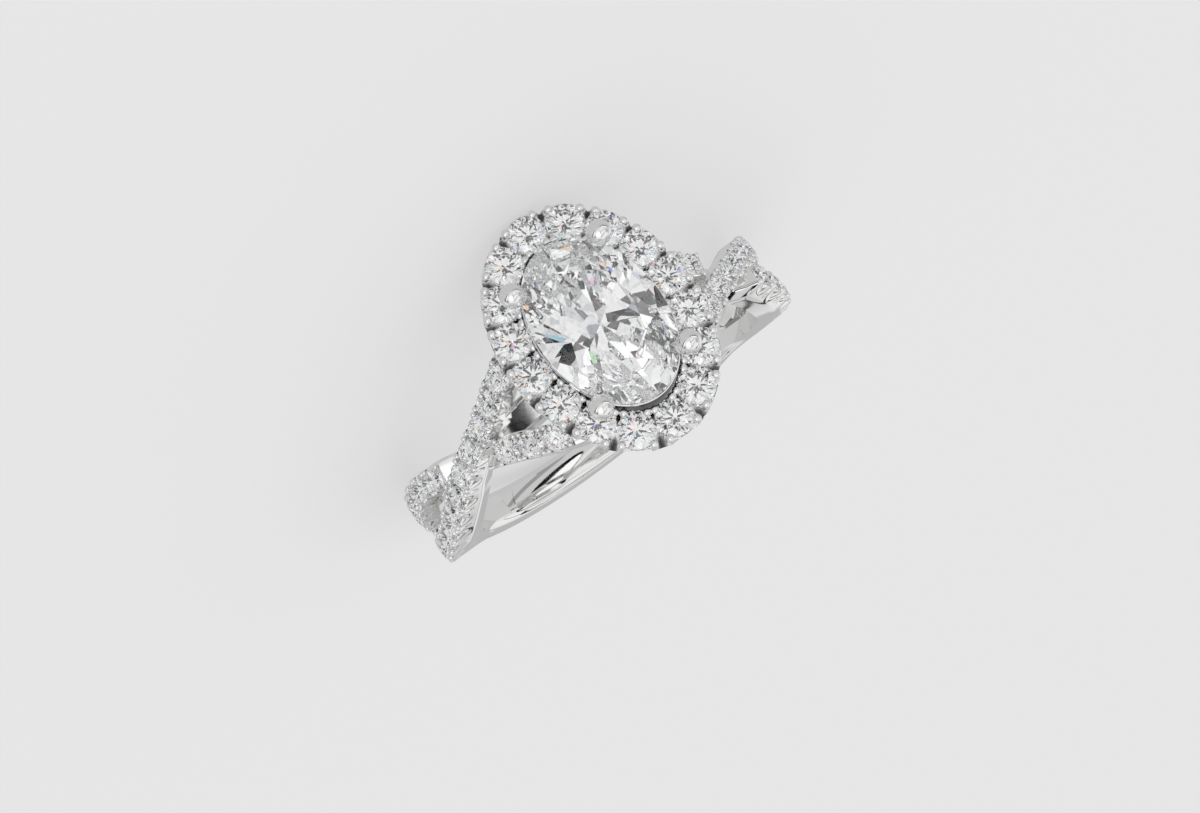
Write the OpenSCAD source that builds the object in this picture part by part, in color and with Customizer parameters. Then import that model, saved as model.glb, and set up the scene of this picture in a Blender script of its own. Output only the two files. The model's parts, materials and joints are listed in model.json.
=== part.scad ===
// A halo engagement ring with a twisted shank. All lengths are in millimetres and all angles in degrees.
// The ring is designed upright: X along the band, Y along the finger, Z out through the stones.
// lay_down() then turns it onto its side, the way it rests by itself on a flat surface.

/* [Finger hole] */
// Inside diameter of the ring
finger_d = 17.2; // [15.6:0.1:20]

/* [Lower shank] */
// Thickness of the plain lower shank
shank_t = 1.6; // [1.4:0.05:2]
// Width of the plain lower shank
shank_w = 1.85; // [1.75:0.05:2.4]
// Width of the lower shank's flat on the finger
shank_flat_w = 1.2; // [0.8:0.05:1.4]
// Radius of the lower shank's outer edges
shank_edge_r = 0.25; // [0.15:0.05:0.4]

/* [Twisted strands] */
// Width of one strand
strand_w = 1.4; // [1.35:0.02:1.6]
// Thickness of one strand, finger to outside
strand_t = 1.88; // [1.7:0.02:2.1]
// Width of one strand's flat on the finger
strand_flat_w = 0.7; // [0.5:0.05:1]
// Angle above the ring's side at which the two strands cross
cross_angle = 42; // [38:0.5:45]
// Angle above the ring's side at which the strands are widest apart below the crossing
eye_angle = 10; // [4:1:14]
// Angle above the ring's side at which the strands reach the head
head_angle = 80; // [76:1:82]
// Angle above the ring's side at which the strands have become one shank
merge_angle = -44; // [-56:1:-40]
// Distance from the ring's middle plane to a strand's middle at the head
head_spread = 2.6; // [2.3:0.05:2.8]
// Distance from the ring's middle plane to a strand's middle in the eye below the crossing
eye_spread = 1.28; // [1.1:0.02:1.5]
// How far the lower strand dips where the upper one passes over it
under_dip = 0.9; // [0.75:0.05:1.05]
// How far the upper strand rises where it passes over the lower one
over_lift = 0.12; // [0.02:0.02:0.3]
// How far the strands rise toward the head
head_lift = 0.2; // [0.05:0.05:0.4]

/* [Strand stones] */
// Diameter of a stone in the strands
strand_stone_d = 1.15; // [1:0.01:1.18]
// Space between neighbouring stones in a strand
strand_stone_gap = 0.13; // [0.11:0.01:0.2]
// Lowest angle that the strand stones reach
pave_end_angle = -15.5; // [-22:0.5:-8]
// Half the angle of the lower strand that is left plain at the crossing
plain_half_angle = 9.5; // [8:0.5:12]

/* [Centre stone] */
// Length of the oval centre stone
centre_len = 8.16; // [7.6:0.02:8.8]
// Width of the oval centre stone
centre_wid = 5.66; // [5.4:0.02:6.2]
// Height of the centre stone's girdle above the halo's plate
centre_rise = 0.72; // [0.68:0.02:1]

/* [Halo] */
// Diameter of a halo stone
halo_stone_d = 1.6; // [1.5:0.01:1.64]
// Distance from the centre stone's side to the halo stones, along the band
halo_gap_x = 0.09; // [0.07:0.01:0.2]
// Distance from the centre stone's tip to the halo stones, along the finger
halo_gap_y = 0.35; // [0.25:0.01:0.5]
// Plain rim outside the halo stones
halo_rim = 0.08; // [0.06:0.01:0.15]
// Thickness of the halo's plate
halo_plate_t = 1.05; // [0.95:0.05:1.3]
// Height of the halo's plate above the outside of the strands
head_height = 3.02; // [2.8:0.02:3.4]

/* [Head] */
// Diameter of a prong's wire
prong_wire_d = 0.85; // [0.75:0.05:1]
// Diameter of a prong's ball
prong_ball_d = 1.15; // [1.05:0.05:1.3]
// Thickness of the gallery rails' wire
rail_t = 0.55; // [0.45:0.05:0.7]
// Height of the collet that joins the strands to the prongs
collet_h = 1.3; // [1.1:0.05:1.6]
// Clearance of every stone in its seat
seat_gap = 0.03; // [0.02:0.01:0.05]

/* [Hidden] */
HALO_COUNT = 16;
SWEEP_STEPS = 34;
$fn = 48;
METAL = "lightgray";
DIAMOND = "aliceblue";

// Radii of the shank and the strands, about the finger's axis
finger_r = finger_d / 2;
shank_r = finger_r + shank_t;
strand_r = finger_r + strand_t;
bury = 0.03;
// How far a strand is drawn into the finger hole before the hole is cut, and its outside edges' bevel
strand_overcut = 0.1;
strand_bevel = 0.04;
// How far the upper strand reaches into the lower one at the crossing
cross_sink = 0.05;
// A strand narrows by bury between these angles, where it meets the other half's strand
narrow_angle = 84;
strand_end_angle = 92;
// Angle at which a strand starts to rise toward the head
lift_angle = 55;

// Proportions of a brilliant cut, as shares of its width
TABLE = 0.57;
CROWN = 0.15;
GIRDLE = 0.03;
PAVILION = 0.43;
STAR_R = 0.8;
LOWER_HALF_R = 0.22;

// Heights of the head, above the finger's axis
plate_top = strand_r + head_height;
plate_bottom = plate_top - halo_plate_t;
halo_girdle_z = plate_top + GIRDLE * halo_stone_d / 2;
centre_z = plate_top + centre_rise;
collet_top = finger_r + collet_h;

// Half-axes of the ovals, as [along the band, along the finger]
centre_half = [centre_wid, centre_len] / 2;
halo_half = centre_half + [halo_gap_x, halo_gap_y] + [1, 1] * halo_stone_d / 2;
plate_half = halo_half + [1, 1] * (halo_stone_d / 2 + halo_rim);
plate_hole_half = halo_half - [1, 1] * (halo_stone_d / 2 + halo_rim);

// How far a seat is cut open above its stone's girdle
seat_cut = 1;

// The prongs' balls stand just outside the girdle, at this angle round the oval from its width
prong_turn = 45;
prong_grip = 0.12;
prong_ball_rise = 0.25;
prong_foot_sink = 0.4;
knee_rise = 0.3;
// Height and thickness of the thin gallery rim under the centre stone, and how far it sinks into the plate
gallery_h = 0.32;
gallery_t = 0.3;
gallery_sink = 0.05;
prong_ball_r = prong_ball_d / 2;
prong_top = oval_point(centre_half, prong_turn)
    + oval_normal(centre_half, prong_turn) * (prong_ball_r - prong_grip);
prong_top_z = centre_z + prong_ball_rise;
collet_half = [0.92, 0.8] * centre_wid / 2;
prong_foot = oval_point(collet_half, prong_turn);
// Each wire rises to a knee that bites into the halo plate's inner edge, then leans out to its ball
knee_bite = 0.055;
knee_half = plate_hole_half - [1, 1] * (prong_wire_d / 2 - knee_bite);
prong_knee = oval_point(knee_half, prong_turn);
prong_knee_z = plate_top + knee_rise;
mid_rail_z = (collet_top + plate_bottom) / 2;
mid_share = (mid_rail_z - collet_top) / (prong_knee_z - collet_top);
mid_point = prong_foot + (prong_knee - prong_foot) * mid_share;
mid_half = [1, centre_len / centre_wid] * norm([mid_point.x, mid_point.y * centre_wid / centre_len]);

// The ring rests on the halo's tip and on the lower shank's edge.
// This is the tilt of its stone axis above the surface.
rest_reach = plate_half.y - (shank_w / 2 - shank_edge_r);
rest_span = plate_bottom + shank_r - shank_edge_r;
rest_tilt = atan2(rest_reach, rest_span) - asin(shank_edge_r / norm([rest_reach, rest_span]));

function halo_name(i) = str("halo_stone_", i < 10 ? "0" : "", i);

// A smooth rise from 0 to 1 as x goes from a to b
function ease(x, a, b) = let (u = max(0, min(1, (x - a) / (b - a)))) u * u * (3 - 2 * u);

function oval_point(half, turn) = [half.x * cos(turn), half.y * sin(turn)];

function oval_normal(half, turn) =
    let (n = [cos(turn) / half.x, sin(turn) / half.y]) n / norm(n);

function oval_points(half, count = 64) = [for (i = [0:count - 1]) oval_point(half, i * 360 / count)];

// The path of a strand: distance from the ring's middle plane at an angle above the ring's side
function strand_side(angle) =
    angle > cross_angle ? head_side((min(angle, head_angle) - cross_angle) / (head_angle - cross_angle))
    : angle > eye_angle ? -eye_spread * sin(90 * (cross_angle - angle) / (cross_angle - eye_angle))
    : -merge_side - (eye_spread - merge_side) * ease(angle, merge_angle, eye_angle);

function head_side(share) = head_spread * sin(90 * (0.5 * share + 0.5 * share * share));

merge_side = (shank_w - strand_w) / 2 - bury;

// How much of the crossing's dip or lift applies at an angle: all of it near the crossing, none at the stones
function crossing(angle) =
    1 - ease(abs(angle - cross_angle), plain_half_angle - 5, plain_half_angle + 1);

function strand_top(angle, lift) =
    strand_r + lift * crossing(angle) + head_lift * ease(angle, lift_angle, head_angle)
    - (strand_r - shank_r + bury) * (1 - ease(angle, merge_angle, pave_end_angle));

// The strand's inside passes through the finger hole's wall, which is cut afterwards.
// At the crossing the upper strand only reaches down into the lower one.
over_rise = strand_t - under_dip - cross_sink;
function strand_bottom(angle, lift) =
    finger_r - strand_overcut + (lift > 0 ? over_rise : 0) * crossing(angle);

function strand_slope(angle) = (strand_side(angle + 0.5) - strand_side(angle - 0.5)) / (strand_r * PI / 180);

function strand_axis_point(angle, r, side) = [r * cos(angle), side * strand_side(angle), r * sin(angle)];

// Unit vector across a strand, in the finger-hole cylinder's tangent plane
function strand_across(angle, side) =
    let (b = atan(side * strand_slope(angle))) [sin(angle) * sin(b), cos(b), -cos(angle) * sin(b)];

// One point of a strand's cross-section: u across, r from the finger's axis
function strand_point(angle, side, u, r) =
    strand_axis_point(angle, r, side) + strand_across(angle, side) * u;

// Length along a strand's path from its merge, at each whole degree
function path_lengths(angles, i = 0, sum = 0) =
    i >= len(angles) ? []
    : let (
        a = angles[i],
        step = i == 0 ? 0 : norm(
            strand_axis_point(a, strand_r, 1) - strand_axis_point(angles[i - 1], strand_r, 1)))
    concat([[sum + step, a]], path_lengths(angles, i + 1, sum + step));

PATH = path_lengths([for (a = [merge_angle:1:head_angle]) a]);

function length_at(angle) = lookup(angle, [for (p = PATH) [p[1], p[0]]]);

// Angles of the stones that fill a strand from one angle up to another
function stone_angles(low, high) =
    let (
        pitch = strand_stone_d + strand_stone_gap,
        start = length_at(low) + strand_stone_d / 2,
        room = length_at(high) - length_at(low) - strand_stone_d,
        count = floor(room / pitch) + 1,
        spare = (room - (count - 1) * pitch) / 2
    )
    [for (i = [0:count - 1]) lookup(start + spare + i * pitch, PATH)];

pave_start_angle = head_angle - 9;
OVER_SPANS = [[pave_end_angle, pave_start_angle]];
UNDER_SPANS = [
    [pave_end_angle, cross_angle - plain_half_angle],
    [cross_angle + plain_half_angle, pave_start_angle]
];

// Angle round the halo at which each stone stands, at equal steps along the oval
function oval_lengths(half, turns, i = 0, sum = 0) =
    i >= len(turns) ? []
    : let (step = i == 0 ? 0 : norm(oval_point(half, turns[i]) - oval_point(half, turns[i - 1])))
    concat([[sum + step, turns[i]]], oval_lengths(half, turns, i + 1, sum + step));

HALO_PATH = oval_lengths(halo_half, [for (t = [0:1:360]) t]);

function halo_turn(i) = lookup((i - 1) / HALO_COUNT * HALO_PATH[360][0], HALO_PATH);

// Turns the upright design onto its side
module lay_down() {
    rotate([90 - rest_tilt, 0, 0]) children();
}

// A copy on each side of the head: the ring looks the same after half a turn about its stone axis
module both_sides() {
    for (turn = [0, 180]) rotate([0, 0, turn]) children();
}

// Brilliant cut with its girdle's middle at z = 0 and its table up
module brilliant(len_x, len_y, depth_of) {
    crown = CROWN * depth_of;
    half_girdle = GIRDLE * depth_of / 2;
    pavilion = PAVILION * depth_of;
    slope = (crown - half_girdle) / (1 - TABLE);
    star_z = crown - (STAR_R * cos(22.5) - TABLE) * slope;
    lower_z = -half_girdle - pavilion * (1 - LOWER_HALF_R * cos(22.5));
    table = ring_of(8, 0, TABLE, crown);
    stars = ring_of(8, 22.5, STAR_R, star_z);
    top = ring_of(16, 0, 1, half_girdle);
    bottom = ring_of(16, 0, 1, -half_girdle);
    lower = ring_of(8, 22.5, LOWER_HALF_R, lower_z);
    culet = [[0, 0, -half_girdle - pavilion]];
    unit = concat(table, stars, top, bottom, lower, culet);
    points = [for (p = unit) [p.x * len_x / 2, p.y * len_y / 2, p.z]];
    T = 0;
    S = 8;
    G = 16;
    B = 32;
    L = 48;
    C = 56;
    faces = concat(
        [[for (k = [7:-1:0]) T + k]],
        [for (k = [0:7]) [T + k, T + next8(k), S + k]],
        [for (k = [0:7]) [T + k, S + k, G + 2 * k]],
        [for (k = [0:7]) [T + k, G + 2 * k, S + prev8(k)]],
        [for (k = [0:7]) [S + k, G + 2 * k + 1, G + 2 * k]],
        [for (k = [0:7]) [S + k, G + next16(2 * k + 1), G + 2 * k + 1]],
        [for (j = [0:15]) [G + j, G + next16(j), B + next16(j)]],
        [for (j = [0:15]) [G + j, B + next16(j), B + j]],
        [for (k = [0:7]) [L + k, B + 2 * k, B + 2 * k + 1]],
        [for (k = [0:7]) [L + k, B + 2 * k + 1, B + next16(2 * k + 1)]],
        [for (k = [0:7]) [C, B + 2 * k, L + k]],
        [for (k = [0:7]) [C, L + prev8(k), B + 2 * k]]
    );
    polyhedron(points, faces);
}

function ring_of(count, start, r, z) =
    [for (k = [0:count - 1]) let (a = start + k * 360 / count) [r * cos(a), r * sin(a), z]];

function next8(k) = (k + 1) % 8;
function prev8(k) = (k + 7) % 8;
function next16(k) = (k + 1) % 16;

// A solid swept along a strand through the cross-sections in sections, each a list of points
module swept(sections) {
    n = len(sections[0]);
    m = len(sections);
    points = [for (s = sections) each s];
    sides = [
        for (i = [0:m - 2])
        for (j = [0:n - 1])
        each [
            [i * n + j, i * n + (j + 1) % n, (i + 1) * n + (j + 1) % n],
            [i * n + j, (i + 1) * n + (j + 1) % n, (i + 1) * n + j]
        ]
    ];
    ends = [
        [for (j = [n - 1:-1:0]) j],
        [for (j = [0:n - 1]) (m - 1) * n + j]
    ];
    polyhedron(points, concat(sides, ends));
}

// One strand's cross-section: bevelled outside edges, upright sides, then drawn in toward the finger
function strand_section(angle, side, lift) =
    let (
        top = strand_top(angle, lift),
        low = strand_bottom(angle, lift),
        bevel = strand_bevel,
        waist = top - 0.5 * (top - low),
        u = strand_w / 2 - bury * ease(angle, narrow_angle, strand_end_angle),
        flat = strand_flat_w / 2
    )
    [
        strand_point(angle, side, u, waist),
        strand_point(angle, side, u, top - bevel),
        strand_point(angle, side, u - bevel, top),
        strand_point(angle, side, bevel - u, top),
        strand_point(angle, side, -u, top - bevel),
        strand_point(angle, side, -u, waist),
        strand_point(angle, side, -flat, low),
        strand_point(angle, side, flat, low)
    ];

// It runs on past the ring's top, where it meets the other half's strand
module strand(side, lift) {
    swept([for (i = [0:SWEEP_STEPS])
        strand_section(merge_angle + i * (strand_end_angle - merge_angle) / SWEEP_STEPS, side, lift)]);
}

// Places its children where each stone of a strand is, facing out of the ring
module at_strand_stones(side, lift, spans) {
    for (span = spans)
        for (a = stone_angles(span[0], span[1]))
            translate(strand_axis_point(a, strand_top(a, lift), side)) rotate([0, 90 - a, 0]) children();
}

module strand_stones(side, lift, spans) {
    at_strand_stones(side, lift, spans) brilliant(strand_stone_d, strand_stone_d, strand_stone_d);
}

// A strand with the seats of its stones cut into it
module seated_strand(side, lift, spans) {
    difference() {
        strand(side, lift);
        at_strand_stones(side, lift, spans) stone_seat(strand_stone_d);
    }
}

// Cross-section of the lower shank, in the plane of the finger's axis
module shank_outline() {
    half = shank_w / 2;
    flat = shank_flat_w / 2;
    waist = finger_r + (half - flat) * 1.4;
    edge = half - shank_edge_r;
    polygon([
        [finger_r, -flat],
        [waist, -half],
        [shank_r - shank_edge_r, -half],
        [shank_r - shank_edge_r, half],
        [waist, half],
        [finger_r, flat]
    ]);
    translate([finger_r + shank_t / 2, -edge]) square([shank_t / 2, 2 * edge]);
    for (s = [-1, 1]) translate([shank_r - shank_edge_r, s * edge]) circle(r = shank_edge_r);
}

// The plain lower shank turns about the finger's axis, from one merge to the other
module lower_shank() {
    top_angle = merge_angle + 20;
    rotate([90, 0, 0])
        rotate([0, 0, 180 - top_angle])
            rotate_extrude(angle = 180 + 2 * top_angle, $fn = 96) shank_outline();
}

module oval_plate(half, z, height) {
    translate([0, 0, z]) linear_extrude(height) polygon(oval_points(half));
}

// A rail of square wire that follows an oval at its outside
module oval_rail(half, z, thickness, height) {
    difference() {
        oval_plate(half, z, height);
        oval_plate(half - [thickness, thickness], z - 1, height + 2);
    }
}

module halo_plate() {
    difference() {
        oval_plate(plate_half, plate_bottom, halo_plate_t);
        oval_plate(plate_hole_half, plate_bottom - 1, halo_plate_t + 2);
        for (i = [1:HALO_COUNT]) at_halo_stone(i) stone_seat(halo_stone_d);
    }
}

// A seat follows its round stone: a short wall round the girdle and a cone under it
module stone_seat(d) {
    r = d / 2 + seat_gap;
    wall = -GIRDLE * d;
    rotate_extrude() polygon([
        [0, wall - PAVILION * d],
        [r, wall],
        [r, seat_cut],
        [0, seat_cut]
    ]);
}

module at_halo_stone(i) {
    p = oval_point(halo_half, halo_turn(i));
    translate([p.x, p.y, halo_girdle_z]) rotate([0, 0, halo_turn(i)]) children();
}

// A round wire from one point to another
module wire(a, b) {
    v = b - a;
    translate(a) rotate([0, acos(v.z / norm(v)), atan2(v.y, v.x)]) cylinder(d = prong_wire_d, h = norm(v));
}

// Four wires rise from the collet and end in balls over the centre stone's edge
module prongs() {
    for (sx = [-1, 1])
        for (sy = [-1, 1]) {
            foot = [sx * prong_foot.x, sy * prong_foot.y, collet_top - prong_foot_sink];
            knee = [sx * prong_knee.x, sy * prong_knee.y, prong_knee_z];
            top = [sx * prong_top.x, sy * prong_top.y, prong_top_z];
            wire(foot, knee);
            translate(knee) sphere(d = 1.1 * prong_wire_d);
            wire(knee, top);
            translate(top) sphere(r = prong_ball_r);
        }
}

// The centre stone, or the space kept for it when gap is more than 0
module centre_brilliant(gap) {
    translate([0, 0, centre_z])
        brilliant(centre_wid + 2 * gap, centre_len + 2 * gap, centre_wid + 2 * gap);
}

// All the metal, which is soldered into one piece
module ring_mount() {
    color(METAL) lay_down() difference() {
        union() {
            lower_shank();
            both_sides() {
                seated_strand(1, -under_dip, UNDER_SPANS);
                seated_strand(-1, over_lift, OVER_SPANS);
            }
            oval_plate(collet_half + [1, 1] * rail_t, finger_r - 1, collet_h + 1);
            prongs();
            oval_rail(mid_half + [1, 1] * rail_t / 2, mid_rail_z, rail_t, rail_t);
            halo_plate();
            oval_rail(centre_half, plate_top - gallery_sink, gallery_t, gallery_h);
        }
        oval_plate(collet_half - [1, 1] * rail_t, finger_r - 2, collet_h + 3);
        centre_brilliant(seat_gap);
        rotate([90, 0, 0]) cylinder(r = finger_r, h = 30, center = true, $fn = 96);
    }
}

module centre_stone() {
    color(DIAMOND) lay_down() centre_brilliant(0);
}

module halo_stone(i) {
    color(DIAMOND) lay_down() at_halo_stone(i)
        brilliant(halo_stone_d, halo_stone_d, halo_stone_d);
}

module pave_left_over() {
    color(DIAMOND) lay_down() strand_stones(-1, over_lift, OVER_SPANS);
}

module pave_left_under() {
    color(DIAMOND) lay_down() strand_stones(1, -under_dip, UNDER_SPANS);
}

module pave_right_over() {
    color(DIAMOND) lay_down() rotate([0, 0, 180]) strand_stones(-1, over_lift, OVER_SPANS);
}

module pave_right_under() {
    color(DIAMOND) lay_down() rotate([0, 0, 180]) strand_stones(1, -under_dip, UNDER_SPANS);
}

ring_mount();
centre_stone();
for (i = [1:HALO_COUNT])
    halo_stone(i);
pave_left_over();
pave_left_under();
pave_right_over();
pave_right_under();
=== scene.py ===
"""The looks of the twisted shank ring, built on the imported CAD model.

Shapes are worked out upright and in millimetres, as the part's source does it: X along the band, Y along the
finger, Z out through the stones. place() then turns them onto the ring's side and into metres.
"""
import itertools
import json
import math

import bmesh
import bpy
import numpy as np
from mathutils import Matrix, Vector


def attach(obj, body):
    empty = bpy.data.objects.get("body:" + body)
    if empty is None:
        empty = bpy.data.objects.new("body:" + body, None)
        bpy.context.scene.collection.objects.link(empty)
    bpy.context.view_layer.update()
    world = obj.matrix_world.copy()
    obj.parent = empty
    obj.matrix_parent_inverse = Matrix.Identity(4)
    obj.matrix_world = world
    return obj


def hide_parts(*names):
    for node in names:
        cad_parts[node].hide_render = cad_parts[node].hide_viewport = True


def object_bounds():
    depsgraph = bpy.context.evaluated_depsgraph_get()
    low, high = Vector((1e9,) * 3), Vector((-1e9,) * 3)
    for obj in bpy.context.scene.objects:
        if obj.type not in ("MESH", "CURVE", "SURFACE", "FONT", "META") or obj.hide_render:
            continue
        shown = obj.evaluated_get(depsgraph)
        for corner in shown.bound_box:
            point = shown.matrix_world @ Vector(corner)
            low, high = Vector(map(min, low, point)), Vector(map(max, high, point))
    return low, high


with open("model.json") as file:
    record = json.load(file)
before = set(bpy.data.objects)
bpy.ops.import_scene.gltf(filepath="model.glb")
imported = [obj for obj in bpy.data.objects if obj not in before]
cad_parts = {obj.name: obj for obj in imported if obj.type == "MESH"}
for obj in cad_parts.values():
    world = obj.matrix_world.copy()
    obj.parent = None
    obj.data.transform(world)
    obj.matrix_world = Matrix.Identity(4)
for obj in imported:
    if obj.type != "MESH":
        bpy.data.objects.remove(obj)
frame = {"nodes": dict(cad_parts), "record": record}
cad_low, cad_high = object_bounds()

# The ring's own sizes, in millimetres and degrees, as in the part's source
FINGER_R = 8.6
SHANK_T = 1.6
SHANK_W = 1.85
SHANK_FLAT_W = 1.2
SHANK_EDGE_R = 0.25
STRAND_W = 1.4
STRAND_T = 1.88
STRAND_FLAT_W = 0.7
CROSS_ANGLE = 42
EYE_ANGLE = 10
HEAD_ANGLE = 80
MERGE_ANGLE = -44
HEAD_SPREAD = 2.6
EYE_SPREAD = 1.28
UNDER_DIP = 0.9
OVER_LIFT = 0.12
HEAD_LIFT = 0.2
STRAND_STONE_D = 1.15
STRAND_STONE_GAP = 0.13
PAVE_END_ANGLE = -15.5
PAVE_HEAD_GAP = 9
PLAIN_HALF_ANGLE = 9.5
CROSSING_FULL = PLAIN_HALF_ANGLE - 5
CROSSING_NONE = PLAIN_HALF_ANGLE + 1
CENTRE_HALF = np.array([2.83, 4.08])
CENTRE_RISE = 0.72
HALO_STONE_D = 1.6
HALO_GAP = np.array([0.09, 0.35])
HALO_RIM = 0.08
HALO_PLATE_T = 1.05
HEAD_HEIGHT = 3.02
HALO_COUNT = 16
PRONG_WIRE_D = 0.85
PRONG_BALL_D = 1.15
PRONG_GRIP = 0.12
PRONG_BALL_RISE = 0.25
KNEE_RISE = 0.3
KNEE_BITE = 0.055
RAIL_T = 0.55
COLLET_H = 1.3
SEAT_GAP = 0.03
BURY = 0.03
STRAND_OVERCUT = 0.1
OVER_RISE = 0.04
LIFT_ANGLE = 55
GIRDLE = 0.03
PAVILION = 0.43
# The stones as shown, a hair larger than their solids, so that they fill their seats
STRAND_SHOWN_D = 1.21
HALO_SHOWN_D = 1.7
CENTRE_SHOWN_HALF = CENTRE_HALF + (0.03, 0.08)

SHANK_R = FINGER_R + SHANK_T
STRAND_R = FINGER_R + STRAND_T
PLATE_TOP = STRAND_R + HEAD_HEIGHT
PLATE_BOTTOM = PLATE_TOP - HALO_PLATE_T
CENTRE_Z = PLATE_TOP + CENTRE_RISE
COLLET_TOP = FINGER_R + COLLET_H
HALO_HALF = CENTRE_HALF + HALO_GAP + HALO_STONE_D / 2
RIM_REACH = HALO_STONE_D / 2 + HALO_RIM
PLATE_HOLE_HALF = HALO_HALF - RIM_REACH
MERGE_SIDE = (SHANK_W - STRAND_W) / 2 - BURY
STRAND_PITCH = STRAND_STONE_D + STRAND_STONE_GAP
PAVE_START_ANGLE = HEAD_ANGLE - PAVE_HEAD_GAP
OVER_SPANS = [(PAVE_END_ANGLE, PAVE_START_ANGLE)]
UNDER_SPANS = [
    (PAVE_END_ANGLE, CROSS_ANGLE - PLAIN_HALF_ANGLE),
    (CROSS_ANGLE + PLAIN_HALF_ANGLE, PAVE_START_ANGLE),
]
# How the two levels of strand differ: side of the middle plane, lift at the crossing, spans of stones
LEVELS = {
    "over": (-1, OVER_LIFT, OVER_SPANS),
    "under": (1, -UNDER_DIP, UNDER_SPANS),
}
HALVES = {"left": False, "right": True}

# The finger hole's axis in the record tells how far the ring leans as it lies on its side
hole_axis = frame["record"]["mounts"][0]["axis"]
REST_TILT = math.atan2(hole_axis[1], hole_axis[2])
MM = 0.001
TURN = Matrix.Rotation(math.pi / 2 - REST_TILT, 4, "X")
PLACE = Matrix.Scale(MM, 4) @ TURN


def place(points):
    """Upright millimetres to the lying frame's metres."""
    turn = np.array(PLACE.to_3x3())
    return np.asarray(points, float) @ turn.T


# Shapes of the ring's paths

def ease(x, a, b):
    """0 up to a, 1 from b on, and a smooth rise between them."""
    u = np.clip((np.asarray(x, float) - a) / (b - a), 0, 1)
    return u * u * (3 - 2 * u)


def strand_side(angle):
    """Distance of a strand's middle from the ring's middle plane."""
    angle = np.asarray(angle, float)
    share = (np.minimum(angle, HEAD_ANGLE) - CROSS_ANGLE) / (HEAD_ANGLE - CROSS_ANGLE)
    head = HEAD_SPREAD * np.sin(np.radians(90 * (0.5 * share + 0.5 * share * share)))
    eye = -EYE_SPREAD * np.sin(np.radians(90 * (CROSS_ANGLE - angle) / (CROSS_ANGLE - EYE_ANGLE)))
    low = -MERGE_SIDE - (EYE_SPREAD - MERGE_SIDE) * ease(angle, MERGE_ANGLE, EYE_ANGLE)
    return np.where(angle > CROSS_ANGLE, head, np.where(angle > EYE_ANGLE, eye, low))


def crossing(angle):
    """1 where the strands cross, 0 away from it."""
    return 1 - ease(np.abs(angle - CROSS_ANGLE), CROSSING_FULL, CROSSING_NONE)


def strand_top(angle, lift):
    sink = (STRAND_R - SHANK_R + BURY) * (1 - ease(angle, MERGE_ANGLE, PAVE_END_ANGLE))
    return STRAND_R + lift * crossing(angle) + HEAD_LIFT * ease(angle, LIFT_ANGLE, HEAD_ANGLE) - sink


def strand_bottom(angle, lift):
    """The over strand runs on into the under strand, a hair short of the finger hole."""
    rise = OVER_RISE + STRAND_OVERCUT if lift > 0 else 0
    return FINGER_R - STRAND_OVERCUT + rise * crossing(angle)


def axis_point(angle, r, side):
    """The strand's middle at this angle, at radius r."""
    a = np.radians(angle)
    return np.stack([r * np.cos(a), side * strand_side(angle) + 0 * r, r * np.sin(a)], -1)


def across(angle, side):
    """Direction across the strand, square to its path."""
    slope = (strand_side(angle + 0.5) - strand_side(angle - 0.5)) / math.radians(STRAND_R)
    b = np.arctan(side * slope)
    a = np.radians(angle)
    return np.stack([np.sin(a) * np.sin(b), np.cos(b), -np.cos(a) * np.sin(b)], -1)


def outward(angle):
    a = np.radians(angle)
    return np.stack([np.cos(a), 0 * a, np.sin(a)], -1)


PATH_END = 96
PATH_ANGLES = np.arange(MERGE_ANGLE, PATH_END, 1.0)
path_points = axis_point(PATH_ANGLES, STRAND_R + 0 * PATH_ANGLES, 1)
PATH_LENGTHS = np.concatenate([[0], np.cumsum(np.linalg.norm(np.diff(path_points, axis=0), axis=1))])


def length_at(angle):
    return np.interp(angle, PATH_ANGLES, PATH_LENGTHS)


def angle_at(length):
    return np.interp(length, PATH_LENGTHS, PATH_ANGLES)


def stone_lengths(low, high):
    """Where the stones of one span stand, as lengths along the strand."""
    start = length_at(low) + STRAND_STONE_D / 2
    room = length_at(high) - length_at(low) - STRAND_STONE_D
    count = int(room // STRAND_PITCH) + 1
    spare = (room - (count - 1) * STRAND_PITCH) / 2
    return start + spare + np.arange(count) * STRAND_PITCH


def oval_point(half, turn):
    t = np.radians(turn)
    return np.stack([half[0] * np.cos(t), half[1] * np.sin(t)], -1)


def oval_normal(half, turn):
    t = np.radians(turn)
    n = np.stack([np.cos(t) / half[0], np.sin(t) / half[1]], -1)
    return n / np.linalg.norm(n, axis=-1, keepdims=True)


HALO_TURNS = np.arange(0, 361, 1.0)
halo_steps = np.linalg.norm(np.diff(oval_point(HALO_HALF, HALO_TURNS), axis=0), axis=1)
HALO_LENGTHS = np.concatenate([[0], np.cumsum(halo_steps)])
HALO_PITCH = HALO_LENGTHS[-1] / HALO_COUNT


def halo_turn_at(length):
    return np.interp(np.mod(length, HALO_LENGTHS[-1]), HALO_LENGTHS, HALO_TURNS)


# Mesh building

def grid_faces(rows, columns, wrap_rows=False, wrap_columns=False, first=0):
    faces = []
    for i in range(rows if wrap_rows else rows - 1):
        for j in range(columns if wrap_columns else columns - 1):
            a, b = i * columns + j, i * columns + (j + 1) % columns
            c, d = ((i + 1) % rows) * columns + (j + 1) % columns, ((i + 1) % rows) * columns + j
            faces.append((first + a, first + b, first + c, first + d))
    return faces


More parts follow.
